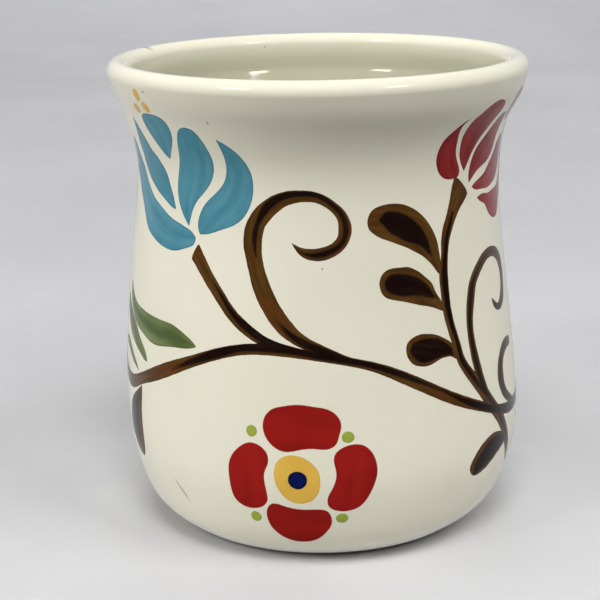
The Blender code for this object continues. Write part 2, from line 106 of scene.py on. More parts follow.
CAP_STEPS = [0.0, 0.008, 0.03, 0.08, 0.16, 0.28, 0.45, 0.7]
FLAT_CAP = 0.12  # the same for a start made with the flat of the brush
# such a start is cut aslant: how far ahead its left side is, as a share of half the width, and how far
# down the line that fades
FLAT_STARTS = {"blue_stem": -0.36, "red_stem": 0.22}
FLAT_FADE = 2.6
THINNEST = 0.02
TIP_SHARE = 0.004  # a mark's edges stop this share short of its very tips
DAB_STEP = 0.35
DAB_RINGS = [1.0, 0.985, 0.96, 0.92, 0.86, 0.78, 0.66, 0.5, 0.3, 0.12]
DOT_SIDES = 64
# (height, offset to the right): how far the throwing left the wall off its axis
LEAN = [(0, .3), (10, .36), (19, .45), (23, .4), (33, .03), (42, -.25), (52, -.44), (62, -.42),
        (70, -.3), (78, -.14), (86, -.02), (93, 0), (96, .3), (99, .25), (102, .12), (105, .1)]

# ---------------- the painting
# A line is the brush's path: (x, height, width), x to the right of the middle of the front. The brown
# lines carry a dark streak too: its share of the width, and how far it is off the middle.
LINES = [
    ("vine", "brown", [
        (-61.5, 37.4, 3.2), (-57.5, 35.2, 3.6), (-53, 34.9, 3.4), (-48, 36.7, 2.8),
        (-42.2, 39.2, 3.1, 0, -.3), (-35.5, 42.3, 3.2, .05, -.2), (-29, 45.2, 2.7, .5),
        (-22.6, 47.8, 2.6, .8, .1), (-16.2, 49.5, 2.5, .8, .3), (-11, 49.8, 2.6, .8, .3),
        (-4.8, 49.2, 2.3, .8, .3), (-.7, 48.5, 2.1, .8, .2), (4.3, 47.5, 2, .8, .2),
        (8.6, 46.4, 2.1, .7, .2), (12.6, 44.9, 2.4, .6, .2), (16.4, 43, 2.7, .5, .3),
        (21.1, 40.4, 2.8, .3, .4), (26.2, 37.5, 2.8, .3, .5), (31.7, 34.7, 2.7, .5, .2),
        (38.4, 31.8, 2.4, .7), (45.1, 29.3, 2.5, .7), (52, 28, 3, .6), (56.9, 28.2, 3, .5),
        (66, 30.8, 2.8, .5, .2), (74, 36.2, 2.6, .5, .3), (80, 43.6, 2.2, .5, .3),
        (83.4, 51.5, 1.8, .5, .2), (84.6, 58, 1.2, .3)]),
    ("blue_stem", "brown", [
        (-29.5, 68.7, 3.8, 0, .3), (-28, 66.9, 3.4, 0, .3), (-25.6, 63.8, 3, 0, .3),
        (-22.4, 60, 2.8, .3, .3), (-19.6, 56.7, 2.7, .5, .25), (-16, 53.7, 2.7, .7, .3),
        (-11.8, 51.3, 2.3, .8, .3), (-6.8, 49.9, 1.9, .8, .1), (-.5, 48.7, 1.2, .8)]),
    ("scroll_middle", "brown", [
        (9, 46.4, .8, .8), (3.3, 48.4, 1.6, .8), (-.7, 50, 2.3, .8, .1), (-4.8, 52, 2.9, .55, .15),
        (-7.9, 54.6, 3.7, .25, .2), (-10.6, 58.2, 3.9, 0, .2), (-12.6, 62, 4, 0, .1),
        (-14.5, 68, 3.8, .05, -.25), (-15, 72, 4.4, .28, -.2), (-14, 75.8, 4.2, .3, -.1),
        (-11.6, 78.5, 3.9, .5, .2), (-8.2, 80.6, 3.2, .5, .35), (-4.3, 81.3, 2.6, .5, .4),
        (-.7, 80.9, 2.3, .5, .35), (2.2, 79.3, 2.2, .5, .2), (4.3, 77.1, 2.5, .45, .1),
        (5, 74.5, 3, .42, .1), (4.3, 72, 2.8, .45, .1), (1.9, 70.1, 2.8, .5), (-1.3, 69.4, 2.7, .5, .1),
        (-4.2, 70, 1.8, .3, .2), (-6.6, 72, 0)]),
    ("red_stem", "brown", [
        (35.2, 81.1, 6.9), (33.8, 78.6, 5.5), (32.4, 76.3, 3.9), (31.2, 74.2, 3.2, .3, .1),
        (30, 72, 3, .4, .2), (29.1, 69.5, 2.6, .5, .2), (28.8, 67.5, 2.2, .6, .2),
        (28.1, 63.4, 2.6, .65, .2), (28.1, 59.6, 2.6, .65, .2), (28.4, 55.3, 2.5, .6, .3),
        (29.4, 50.8, 2.4, .5, .3), (30.6, 46.8, 2.4, .5, .3), (31.2, 44.6, 2.4, .5, .2),
        (33, 41.5, 2.5, .5, .2), (37.2, 36.5, 3, .3), (41.2, 31.6, 3.2, .3, .3), (44.9, 27.4, 3.2, .3),
        (47.8, 22.9, 3, .4), (50.3, 18.1, 2, .4), (51.6, 14.7, .5, .3)]),
    ("scroll_right", "brown", [
        (41.6, 32, .9, .5), (39.2, 35, 2, .5), (37.5, 38.4, 2.5, .5), (36.3, 42.3, 2.6, .5),
        (35.3, 47.4, 2.3, .5), (35.2, 51.7, 2.4, .5), (36.2, 56.3, 2.9, .5), (37.5, 59.5, 2.8, .4),
        (39.8, 61.8, 2.7, .3), (43, 63.7, 2.5, .2), (47.6, 64.1, 2.4, .3), (51.6, 62, 2.9, .5),
        (53.2, 59, 3, .5), (53, 55.4, 2.8, .5), (51.7, 53, 2.9, .5), (48.5, 51.6, 1.8, .5),
        (46, 53.1, 1.3, .4), (45.1, 54.5, 0)]),
    ("scroll_far", "brown", [
        (54.9, 42.3, 2.1, .2), (49.6, 42.2, 2.9, .4), (47, 39.8, 3, .5), (46.3, 36.6, 3.3, .5),
        (47.5, 33, 2.7, .5), (50.4, 30.4, 2.2, .5), (54.6, 28.6, .9, .5)]),
    ("brown_leaf_right", "brown", [
        (35, 16.9, 4.6, .2, -.1), (36.2, 18.8, 5.8, .5, -.1), (38.2, 20.3, 6.8, .65, -.1),
        (40.8, 21.5, 6.8, .7, -.05), (43.9, 22, 5.4, .7), (47.7, 21.6, 2, .6)]),
    ("yellow_dash_1", "yellow", [(-42.1, 101.5, 1.6), (-41.6, 100.3, 2.1), (-41.2, 98.9, 1.5)]),
    ("yellow_dash_2", "yellow", [(-44.6, 98, 1.5), (-43.8, 97.1, 2.1), (-43, 96.2, 1.3)]),
    ("yellow_dash_3", "yellow", [(-40.8, 98.6, 1.5), (-39.8, 97.7, 2.2), (-38.9, 96.8, 1.5)]),
    ("back_leaf_1", "green", [
        (69, 41, 0), (68.6, 45, 3.6), (69.4, 49.4, 4.6), (71.6, 53.6, 3.6), (74.4, 57, 0)]),
    ("back_leaf_2", "green", [
        (86.6, 44.6, 0), (90.6, 44.8, 3.4), (94.8, 46.6, 4.4), (98.4, 50, 3.2), (101, 54, 0)]),
    ("back_leaf_3", "brown", [
        (74, 31.4, 0), (78.6, 29.6, 4, .6), (83.4, 29.6, 4.6, .7), (88, 31.6, 3, .4)]),
    ("back_petal_1", "blue", [
        (83.2, 62.2, 1.4), (79, 64.4, 5), (75.4, 68.8, 5.8), (73.6, 74.6, 4.2), (73.4, 80, 0)]),
    ("back_petal_2", "blue", [
        (85.2, 63, 1.2), (84, 68.4, 6), (83.2, 74, 7), (84, 79.4, 4.8), (85.6, 84, 0)]),
    ("back_petal_3", "blue", [
        (87.6, 61.8, 1.4), (91.8, 64, 5), (95.2, 68.6, 5.8), (96.8, 74.4, 4.2), (96.8, 79.8, 0)]),
    ("back_vine", "brown", [
        (-57.5, 35.4, 1.2), (-62, 37.6, 3, .2, .1), (-68, 40.2, 2.8, .5, .2), (-75, 44, 2.8, .5, .3),
        (-80.6, 50.8, 2.7, .5, .2), (-84.4, 58.4, 2.6, .4, .2), (-89.8, 64.4, 2.5, .5, .2),
        (-97.2, 65.4, 2.4, .5, .2), (-102, 60.6, 2.4, .5), (-100.4, 54.4, 2.2, .4), (-95, 53.4, 1.5, .3),
        (-92.8, 56.4, 0)]),
    ("back_leaf_4", "brown", [
        (-76.6, 56.6, 0), (-73.4, 59.6, 4, .6, .1), (-71.4, 63.4, 5.4, .7, .1), (-71, 67.6, 4.4, .3)]),
    ("back_leaf_5", "brown", [
        (-82.6, 48.4, 0), (-86.2, 46.4, 4, .6, .1), (-90.2, 45.4, 5.4, .7, .1), (-94.4, 46, 4.4, .3)]),
    ("back_petal_4", "crimson", [
        (-84.4, 68.4, 1.2), (-80.6, 72.4, 5), (-78.2, 77.6, 5.6), (-78.2, 83, 3.6), (-79.6, 87.6, 0)]),
    ("back_petal_5", "crimson", [
        (-87, 69.4, 1.2), (-87.6, 75, 5.6), (-87.4, 81, 5.8), (-86.4, 87, 0)]),
    ("back_petal_6", "crimson", [
        (-89.8, 68.6, 1.2), (-94, 72, 5), (-96.6, 76.8, 5.6), (-96.6, 82.2, 3.6), (-95, 87, 0)]),
]
# A mark is a wide touch of the brush: where it starts, where it ends, and its two edges in between. The
# brown leaves carry the same for their dark second coat.
MARKS = [
    ("brown_leaf_upper", "brown", (9.8, 75.7), (27.2, 62.8), [
        (10.2, 77), (11.1, 78.1), (12.5, 78.7), (14.2, 79), (16.3, 79), (18.4, 78.6), (19.9, 78),
        (21.2, 77.3), (22.8, 76.1), (24.1, 74.8), (25.3, 73.2), (26.3, 71.4), (26.9, 69.7), (27.2, 67.9),
        (27.4, 66.1)], [
        (10, 74.4), (11, 73.2), (12.7, 72.1), (14.7, 71.3), (16.6, 70.5), (18.7, 69.6), (20.7, 68.5),
        (22.7, 67.3), (24.2, 66), (25.4, 64.7), (26.5, 63.3)],
     ((12.3, 75.8), (25.3, 66.8), [
         (12.7, 76.4), (14, 77.4), (15.7, 77.5), (17.8, 76.9), (19.9, 75.8), (21.7, 74.4), (23.3, 72.5),
         (24.3, 70.6), (24.8, 68.7)], [
         (12.6, 75.4), (13.7, 74.3), (15, 73), (16.7, 72), (18.7, 70.8), (20.8, 70.1), (22.7, 69.1),
         (24, 67.9)])),
    ("brown_leaf_middle", "brown", (12, 62.8), (27.6, 55), [
        (12.4, 64.2), (13.4, 65.3), (14.9, 65.8), (17, 65.8), (18.8, 65.7), (20.3, 65.1), (21.8, 64.2),
        (23.3, 62.9), (24.6, 61.7), (25.4, 60), (26, 58.9), (27.4, 56.5)], [
        (12.3, 61.3), (13.2, 60), (15, 59.2), (17, 58.7), (19, 58.1), (21.1, 57.4), (23.3, 56.8),
        (25.2, 56.1), (26.9, 55.3)],
     ((13.1, 62.8), (26.1, 58.2), [
         (13.7, 64), (15.2, 64.6), (17.2, 64.5), (19.3, 64), (20.9, 63.3), (22.7, 62), (24.2, 60.4),
         (25.3, 58.8)], [
         (13.4, 61.4), (14.7, 60.5), (16.4, 59.9), (18.5, 59.6), (20.5, 59.4), (22.7, 58.9),
         (24.6, 58.4)])),
    ("brown_leaf_lower", "brown", (17.4, 48.7), (30.8, 44.8), [
        (17.6, 49.7), (18.3, 50.5), (19.5, 51.1), (21, 51.4), (22.9, 51.2), (24.9, 50.7), (26.5, 49.9),
        (28, 49), (29.2, 48), (30.5, 46)], [
        (17.5, 47.4), (18.1, 46.2), (18.9, 45.3), (20.2, 44.7), (21.7, 44.4), (23.2, 44.5), (24.5, 44.9),
        (25.8, 45.3), (27.5, 45.4), (28.9, 45.1), (30.5, 44.4)],
     ((18.3, 48), (29.3, 45.3), [
         (18.4, 48.6), (18.9, 49.6), (20.1, 50.2), (22, 50.4), (24.5, 50), (26.5, 49.2), (27.9, 48.1),
         (29, 47)], [
         (18.6, 47.3), (19.4, 46.2), (20.8, 45.3), (22.7, 45.2), (24.2, 45.5), (25.8, 45.7),
         (27.9, 45.7)])),
    ("brown_leaf_left", "brown", (-46.9, 35.7), (-49.3, 18), [
        (-50.3, 33.4), (-53, 31.5), (-55.2, 29), (-56.5, 25.7), (-56.5, 22.8), (-54.5, 20.5),
        (-51, 18.2)], [
        (-47, 33.1), (-47.5, 29.9), (-47.6, 27.2), (-47.6, 23.8), (-48.1, 19.6)],
     ((-47.9, 33.4), (-50.2, 20.2), [
         (-51, 31.6), (-53.6, 28.6), (-54.8, 25.2), (-54, 22.2)], [
         (-49.2, 30), (-49.6, 26), (-49.4, 22.6)])),
    ("blue_petal_low", "blue", (-29.2, 71.3), (-56, 89.5), [
        (-30.7, 72.5), (-32.4, 73.1), (-34.6, 73.7), (-37, 74.3), (-39.5, 75.3), (-42, 76.4), (-44.8, 77.7),
        (-47.2, 79.5), (-49, 81.3), (-50.6, 83.4), (-52.6, 85.4), (-53.8, 87.2), (-54.8, 89)], [
        (-29.7, 69.8), (-31.1, 69), (-33.1, 68.3), (-35.1, 67.7), (-37.4, 67.5), (-39.5, 67.7), (-42, 68.2),
        (-45, 69.2), (-47.9, 70.7), (-49.6, 72.7), (-51.8, 75.6), (-53.6, 77.6), (-55.6, 80.1),
        (-57.3, 82.5), (-57.6, 85.5), (-57, 88)]),
    ("blue_petal_thin", "blue", (-35.7, 76.3), (-48.8, 94.9), [
        (-36.2, 77.5), (-36.8, 79.1), (-37.8, 81), (-38.6, 82.9), (-39.6, 84.4), (-41, 85.7), (-42.3, 86.9),
        (-43.9, 87.9), (-45.2, 89.5), (-46.2, 90.9), (-47.2, 92.4), (-48.1, 93.7)], [
        (-36.8, 76.4), (-38.8, 77.2), (-41.7, 78.5), (-44.5, 79.9), (-47, 81.6), (-48.8, 83.6),
        (-49.8, 85.5), (-50.3, 87.5), (-50.4, 89.6), (-49.8, 91.4), (-49.3, 93.2)]),
    ("blue_petal_bud", "blue", (-36.9, 86.7), (-40.2, 96.4), [
        (-38.1, 87.3), (-39.4, 88.3), (-41.2, 90.2), (-42.6, 91.9), (-43.5, 93.8), (-43.5, 95.3),
        (-42.2, 96.2)], [
        (-36, 88.4), (-34.7, 90.5), (-34, 92.8), (-34.5, 94.8), (-36, 96), (-38, 96.4)]),
    ("blue_petal_middle", "blue", (-31.4, 73.2), (-29.4, 94.6), [
        (-33, 75), (-34.9, 78.2), (-35.3, 81.3), (-34.6, 84.5), (-33.7, 87.5), (-33.2, 90.3), (-32.5, 92.4),
        (-31.1, 94.1)], [
        (-30.8, 75.5), (-29.9, 77.7), (-27.6, 80.3), (-25.5, 82.5), (-24.2, 85), (-23.9, 87.4),
        (-24.9, 90.5), (-26.1, 92.7), (-27.6, 94.2)]),
    ("blue_petal_right", "blue", (-28.2, 72), (-22.3, 92.7), [
        (-28.8, 73.4), (-28.6, 75.6), (-27.6, 77.7), (-25.6, 79.8), (-23, 82), (-21.5, 84), (-20.9, 86.3),
        (-21.1, 89), (-21.7, 91)], [
        (-26, 72.3), (-22.8, 73.4), (-19.6, 74.6), (-17.2, 76.3), (-15.5, 79), (-14.7, 82.3), (-15, 85.6),
        (-16.6, 88.6), (-19, 90.9)]),
    ("red_petal_1", "crimson", (34, 95.1), (31.8, 82.2), [
        (32.5, 94.6), (31, 93.7), (29.6, 92.7), (28.2, 91.6), (27.2, 90.3), (26.6, 88.7), (26.4, 87.1),
        (26.7, 85.5), (27.4, 84.1), (28.7, 82.9), (30.4, 82.3)], [
        (33.2, 94.5), (32.2, 93.6), (31.8, 91.8), (32, 90), (32.1, 88.5), (32.7, 86.6), (33.6, 85),
        (34.1, 83.5), (33.8, 82.6), (32.7, 82.3)]),
    ("red_petal_2", "crimson", (35.7, 83.3), (45, 97.3), [
        (34.4, 85), (33.5, 86.8), (33.2, 89.1), (33.2, 90.9), (33.8, 92.7), (34.8, 94.3), (36.6, 95.6),
        (38.6, 96.9), (40.5, 97.7), (43.1, 97.9)], [
        (36.2, 84), (37, 85.3), (38, 87), (39.3, 88.7), (40.8, 90.3), (42.3, 91.6), (43.9, 93.2),
        (45.3, 94.7), (45.8, 95.9)]),
    ("red_petal_3", "crimson", (37.7, 80.5), (50.2, 94.4), [
        (37.5, 81.7), (37.6, 83.5), (38.2, 85.5), (39.2, 87.3), (40.9, 89), (42.9, 90.5), (44.6, 92),
        (46.4, 93.5), (48.6, 94.4)], [
        (39, 81.4), (41.4, 82.8), (44.3, 83.6), (47.3, 84.8), (48.9, 86.6), (49.6, 89), (50.2, 90.9),
        (50.6, 92.8)]),
    ("red_petal_4", "crimson", (38.9, 79.6), (55, 89), [
        (40.2, 80.3), (42.9, 81.1), (45.5, 82.2), (47.5, 83.7), (50, 85.5), (51.6, 87.4), (53.2, 88.6)], [
        (40, 78.9), (43.1, 78.4), (46.5, 78.1), (49.9, 78.5), (52.6, 79.2), (55, 81), (56.2, 83.3),
        (56.6, 86)]),
    ("red_petal_5", "crimson", (52.6, 91.8), (54.6, 99), [
        (51.7, 93.4), (51.3, 94.8), (51.4, 96.4), (52.6, 98.2)], [
        (54.6, 92.2), (57.2, 93.8), (58.6, 96), (57.4, 98.4)]),
    ("red_petal_6", "crimson", (41.2, 76.9), (59.4, 91), [
        (43.6, 77.4), (47.2, 77), (50.3, 77.2), (53.3, 77.4), (56.4, 78.6), (58.2, 81.6), (59, 86)], [
        (43, 75.7), (45.1, 74.8), (46.1, 73.7), (47, 72.6), (48.8, 71.4), (51.3, 70.8), (53.4, 71.2),
        (55, 72.7), (57.6, 75.2), (60.2, 79), (61, 84)]),
    ("green_leaf_upper", "green", (-56.8, 57.6), (-27.8, 48.4), [
        (-54.6, 55.4), (-52, 53.7), (-48.4, 52.9), (-44.8, 52.5), (-41.4, 52.3), (-38, 52.2), (-34.9, 52),
        (-32.7, 51.3), (-30.4, 50.3), (-29, 49.5)], [
        (-56, 53.4), (-54, 50.8), (-51.8, 49.2), (-49.4, 48.1), (-46.8, 47.4), (-44.1, 46.6), (-41, 46.2),
        (-38.2, 46.5), (-34.7, 47.1), (-31.8, 47.4), (-29.2, 47.9)]),
    ("green_leaf_middle", "green", (-58.8, 54), (-44.2, 41.6), [
        (-55.8, 51.8), (-52.8, 49.7), (-50.1, 48), (-48.5, 46.4), (-46.6, 45), (-45.1, 43.6)], [
        (-58.8, 50.6), (-57, 47.8), (-54.8, 45.7), (-52.2, 44.3), (-49.5, 43.2), (-47.2, 42.3),
        (-45.4, 41.6)]),
    ("green_leaf_lower", "green", (-60, 43.8), (-48.3, 38.1), [
        (-57.6, 44.2), (-55, 43.2), (-52.6, 41.6), (-50.2, 40)], [
        (-59, 42.6), (-56.3, 41.4), (-53.4, 39.9), (-50.6, 38.9)]),
]
# A dab is a closed outline, worked with the brush at a heading, in degrees from level.
DABS = [
    ("rosette_petal_top", "red", 0, [
        (-12.5, 33.3), (-12, 35.8), (-10.6, 37.4), (-8.2, 38.2), (-5.4, 38.6), (-2, 38.2), (.9, 37.5),
        (2.7, 36), (3.4, 34.1), (3, 31.9), (2.2, 29.8), (.7, 28.9), (-2.2, 29), (-5, 28.7), (-8, 28.2),
        (-10.3, 29.2), (-11.9, 31.2)]),
    ("rosette_petal_left", "red", 90, [
        (-15.4, 29.8), (-17.3, 28.8), (-19, 27), (-20.1, 24.6), (-20.3, 21.8), (-20.1, 18.8), (-19.2, 15.9),
        (-17.4, 14.6), (-15.1, 14.4), (-13.2, 15.1), (-12, 16.7), (-12, 18.8), (-12.3, 21.2), (-12.2, 23.4),
        (-11.4, 25.6), (-11.6, 27.6), (-13.1, 29.3)]),
    ("rosette_petal_bottom", "red", 0, [
        (-12.6, 12.5), (-12.3, 14.8), (-11, 16.2), (-9.2, 16), (-7.2, 15.4), (-4.5, 15.1), (-1.6, 15.2),
        (.3, 14.8), (1.3, 13.2), (1.3, 11), (.2, 9), (-2, 6.9), (-4.8, 6.1), (-7.6, 6.4), (-10.2, 7.9),
        (-12, 10.2)]),
    ("rosette_petal_right", "red", 80, [
        (5.9, 29.9), (3.6, 29.3), (2, 27.9), (1.7, 26.3), (2.1, 24.2), (2, 22), (1.3, 20), (.4, 17.8),
        (.8, 15.6), (2.5, 14.6), (4.8, 14.5), (7, 15.3), (8.8, 17.5), (10, 20.3), (10.6, 23), (10.4, 25.6),
        (9.4, 28), (7.8, 29.5)]),
    ("rosette_disc", "yellow", 60, [
        (-7.2, 27.6), (-4.6, 27.3), (-2.6, 26), (-1.2, 23.9), (-.9, 21.6), (-1.2, 19.4), (-2.6, 17.3),
        (-5, 16.4), (-7.4, 17), (-9.2, 18.9), (-10.3, 21.6), (-10.3, 24.4), (-9.2, 26.6)]),
]
# A dot is a touch of the brush's tip: its middle and its two radii.
DOTS = [
    ("rosette_dot", "navy", (-5.55, 22), (2.05, 2.14)), ("green_dot_1", "lime", (-14.8, 32.35), (1.2, 1.3)),
    ("green_dot_2", "lime", (-15, 12.4), (1.25, 1.33)), ("green_dot_3", "lime", (4.65, 31.45), (1.35, 1.3)),
    ("green_dot_4", "lime", (3.5, 12.75), (1.37, 1.26)),
]

# ---------------- stage, lights and camera, in metres
SHEET_HALF_WIDTH = 3.0
SHEET_SPLIT = -0.11  # in front of this y the sheet throws no light at the mug
SHEET_BEND = 0.9
SHEET_RADIUS = 0.5
SHEET_BACK_HEIGHT = 3.0
LIGHT_TARGET = (0, 0, 0.06)
LIGHT_PIVOT = 0.09  # the height that the lights' elevations are taken from
SOFT_SIZE = (0.5, 0.5)
SOFT_DISTANCE = 1.3
# name, azimuth from the front and elevation in degrees, watts
SOFT_LIGHTS = [
    ("key", 0, 58, 11.0), ("left_low", -90, 12, 6.4), ("right", 60, 52, 5.2), ("back", 180, 35, 1.6),
    ("back_right", 120, 12, 2.6), ("left_front", -60, 22, 2.4), ("front_low", 5, 14, 1.6),
]
GLINT_DISTANCE = 1.2
GLINT_COLOUR = (1.0, 0.98, 0.94)
GLINTS = [("glint_left", -50, 37, 2.0, (0.26, 0.15)), ("glint_right", 45, 36, 2.0, (0.24, 0.15))]
CAMERA_PLACE = (-0.0046, -0.3549, 0.1465)
CAMERA_DOWN = 15.41  # degrees below level
CAMERA_ROLL = -0.96
CAMERA_LENS = 96.0


# ---------------- curves

def spline(points, step):
    """Natural cubic spline through the rows, by travel in the plane of the first two columns. Returns
    stops about a step apart, the rows there, and a function that gives the rows at any stops."""
    width = max(len(point) for point in points)
    rows = np.array([tuple(point) + (0.0,) * (width - len(point)) for point in points], dtype=float)
    travel = np.concatenate([[0.0], np.cumsum(np.hypot(*np.diff(rows[:, :2], axis=0).T))])
    gaps = np.diff(travel)
    count = len(rows)
    matrix = np.eye(count)
    right = np.zeros_like(rows)
    for k in range(1, count - 1):
        matrix[k, k - 1:k + 2] = gaps[k - 1], 2 * (gaps[k - 1] + gaps[k]), gaps[k]
        right[k] = 6 * ((rows[k + 1] - rows[k]) / gaps[k] - (rows[k] - rows[k - 1]) / gaps[k - 1])
    bend = np.linalg.solve(matrix, right)

    def at(stops):
        span = np.clip(np.searchsorted(travel, stops, "right") - 1, 0, count - 2)
        gap = gaps[span][:, None]
        ahead = (stops[:, None] - travel[span][:, None]) / gap
        behind = 1 - ahead
        cubic = (behind ** 3 - behind) * bend[span] + (ahead ** 3 - ahead) * bend[span + 1]
        return behind * rows[span] + ahead * rows[span + 1] + cubic * gap ** 2 / 6

    stops = np.linspace(0.0, travel[-1], max(2, round(travel[-1] / step) + 1))
    return stops, at(stops), at


def all_round(count):
    return 2 * np.pi * np.arange(count) / count


def arc(centre, radius, start, stop, steps):
    angles = np.radians(np.linspace(start, stop, steps + 1))
    return np.column_stack([centre[0] + radius * np.cos(angles), centre[1] + radius * np.sin(angles)])


def closed_curve(points, step):
    """A smooth closed outline through the points."""
    wrapped = points[-3:] + points + points[:4]
    gaps = np.hypot(*np.diff(np.array(wrapped, dtype=float), axis=0).T)
    begin = gaps[:3].sum()
    around = gaps[3:3 + len(points)].sum()
    count = round(around / step)
    return spline(wrapped, step)[2](begin + around * np.arange(count) / count)


def signed_area(outline):
    """Twice the area within an outline, below 0 where it runs clockwise."""
    following = np.roll(outline, -1, axis=0)
    return (outline[:, 0] * following[:, 1] - outline[:, 1] * following[:, 0]).sum()


def two_edges(start, end, one, other, step):
    """A mark's two edges, each with the same number of points from start to end, and the first of them
    on the right hand of someone going that way."""
    paths = [spline([start, *edge, end], step) for edge in (one, other)]
    count = max(8, round(max(path[0][-1] for path in paths) / step))
    shares = np.linspace(TIP_SHARE, 1 - TIP_SHARE, count + 1)
    first, second = [path[2](shares * path[0][-1]) for path in paths]
    anticlockwise = signed_area(np.vstack([first, second[::-1]])) > 0
    return (first, second) if anticlockwise else (second, first)


def signed_distance(points, outline):
    """How far the points are inside a closed outline, below 0 for those outside."""
    following = np.roll(outline, -1, axis=0)
    run = following - outline
    size = np.maximum((run ** 2).sum(axis=1), 1e-12)
    lead = points[:, None] - outline
    share = np.clip((lead * run).sum(axis=2) / size, 0, 1)
    gap = np.sqrt(((lead - share[..., None] * run) ** 2).sum(axis=2).min(axis=1))
    height = points[:, 1][:, None]
    straddles = (outline[:, 1] > height) != (following[:, 1] > height)
    rise = np.where(np.abs(run[:, 1]) < 1e-9, 1e-9, run[:, 1])
    reach = outline[:, 0] + (height - outline[:, 1]) * run[:, 0] / rise
    inside = (straddles & (points[:, 0][:, None] < reach)).sum(axis=1) % 2 == 1
    return np.where(inside, gap, -gap)


OUTER = spline(WALL_STATIONS, 0.8)[1]
LIP = arc((LIP_CENTRE, HEIGHT - LIP_TUBE), LIP_TUBE, LIP_START, 180, LIP_STEPS)
SKIN = np.vstack([OUTER, LIP[:LIP_STEPS // 2]])
SWAY = spline(LEAN, 1.0)[1]


def sway(height):
    """How far the thrown wall stands to the right of its axis at a height."""
    return np.interp(height, SWAY[:, 0], SWAY[:, 1])


def on_wall(x, height, offset):
    """Points at an offset from the outside wall; x is the distance round from the front."""
    x, height = np.broadcast_arrays(np.asarray(x, float), np.asarray(height, float))
    radius = np.interp(height, SKIN[:, 1], SKIN[:, 0])
    above = np.interp(height + 0.5, SKIN[:, 1], SKIN[:, 0])
    slope = above - np.interp(height - 0.5, SKIN[:, 1], SKIN[:, 0])
    length = np.hypot(1.0, slope)
    angle = x / UNROLL_RADIUS
    reach = radius + sway(height) * np.sin(angle) + offset / length
    return np.stack([reach * np.sin(angle), -reach * np.cos(angle), height - offset * slope / length], -1)


# ---------------- meshes

def add_object(name, data):
    made = bpy.data.objects.new(name, data)
    bpy.context.scene.collection.objects.link(made)
    return made


def smooth_mesh(name, vertices, faces, material):
    mesh = bpy.data.meshes.new(name)
    mesh.from_pydata(vertices, [], faces)
    mesh.validate()
    mesh.shade_smooth()
    mesh.set_sharp_from_angle(angle=math.radians(SHARP_ANGLE))
    mesh.materials.append(material)
    return mesh


def piece(name, vertices, faces, material, stands_for, attributes=None):
    """A piece of the mug, from vertices in mm, which may stand for CAD solids."""
    mesh = smooth_mesh(name, (np.asarray(vertices) * MM).tolist(), faces, material)
    for key, values in (attributes or {}).items():
        layer = mesh.attributes.new(key, "FLOAT", "POINT")
        layer.data.foreach_set("value", np.asarray(values, np.float32))
    made = add_object(name, mesh)
    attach(made, "root")
    if stands_for:
        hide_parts(*stands_for)


def tube_faces(rows, columns, closed_rows=False):
    """Quads of a grid whose columns close into a ring."""
    faces = []
    for row in range(rows if closed_rows else rows - 1):
        low = row * columns
        high = ((row + 1) % rows) * columns
        for column in range(columns):
            following = (column + 1) % columns
            faces.append((low + column, low + following, high + following, high + column))
    return faces


def fan(first, count, centre, flip=False):
    """Triangles from a ring of vertices to its centre."""
    faces = []
    for step in range(count):
        corners = (first + step, first + (step + 1) % count)
        faces.append((*(corners[::-1] if flip else corners), centre))
    return faces


def turned(name, profile, material, stands_for, closed=False):
    """A turned solid from (radius, height) rows. The first and last rows are at the axis unless the
    profile is closed."""
    profile = np.asarray(profile, float)
    angles = all_round(SEGMENTS)
    body = profile if closed else profile[1:-1]
    reach = body[:, :1] + sway(body[:, 1:]) * np.sin(angles)[None, :] * np.clip(body[:, :1] / 30, 0, 1)
    height = np.repeat(body[:, 1:], SEGMENTS, axis=1)
    rings = np.stack([reach * np.sin(angles), -reach * np.cos(angles), height], -1).reshape(-1, 3)
    faces = tube_faces(len(body), SEGMENTS, closed)
    if closed:
        piece(name, rings, faces, material, stands_for)
        return
    inside = np.zeros(len(body))
    lip = int(np.argmax(body[:, 1]))
    # how far each row is inside the cup, rising from 0 just below the lip; this weight paints shade inside
    # the cup
    inside[lip:] = np.clip((HEIGHT - body[lip:, 1] - 1) / 5, 0, 1)
    inside = np.concatenate([np.repeat(inside, SEGMENTS), [0, 1]])
    first = len(rings)
    vertices = np.vstack([rings, [(0, 0, profile[0, 1]), (0, 0, profile[-1, 1])]])
    top = (len(body) - 1) * SEGMENTS
    faces += fan(0, SEGMENTS, first, flip=True) + fan(top, SEGMENTS, first + 1)
    piece(name, vertices, faces, material, stands_for, {"inside": inside})


# ---------------- materials

GLAZE_ROUGHNESS = 0.09
GLAZE_IOR = 1.5
GLAZE = (0.80, 0.775, 0.63)
GLAZE_PALE = (0.83, 0.795, 0.66)
GLAZE_BLOTCH = (0.78, 0.765, 0.61)
# painted shade: the inside is the same cream glaze as the outside, and this darker colour stands in for the
# shade within the cup
GLAZE_INSIDE_SHADE = (0.455, 0.445, 0.325)
SPECK = (0.16, 0.11, 0.06)
BLEMISH = (0.10, 0.07, 0.05)
BLEMISH_DEPTH = 4
AMBER_DEEP = (0.060, 0.028, 0.006)
AMBER = (0.115, 0.052, 0.011)
AMBER_RED = (0.14, 0.035, 0.008)
SECOND_COAT_DEEP = (0.009, 0.0035, 0.003)
SECOND_COAT = (0.022, 0.011, 0.006)
BROWN_RIM = (0.036, 0.021, 0.008)
# specks of iron, a scratch, and a smudge on the rim: (x, height), half length and half width, degrees
# turned from level, strength
BLEMISHES = [
    ((-38.6, 101.2), (0.35, 0.3), 0, 0.9), ((-23, 96), (0.28, 0.28), 0, 0.9),
    ((0, 66.5), (0.25, 0.25), 0, 0.8), ((-34.3, 14.6), (3.7, 0.55), -52, 0.42),
    ((-86.7, 104.4), (2.6, 1.3), 20, 0.85),
]


def build_nodes(name):
    material = bpy.data.materials.new(name)
    material.use_nodes = True
    tree = material.node_tree
    return material, tree, tree.nodes["Principled BSDF"]


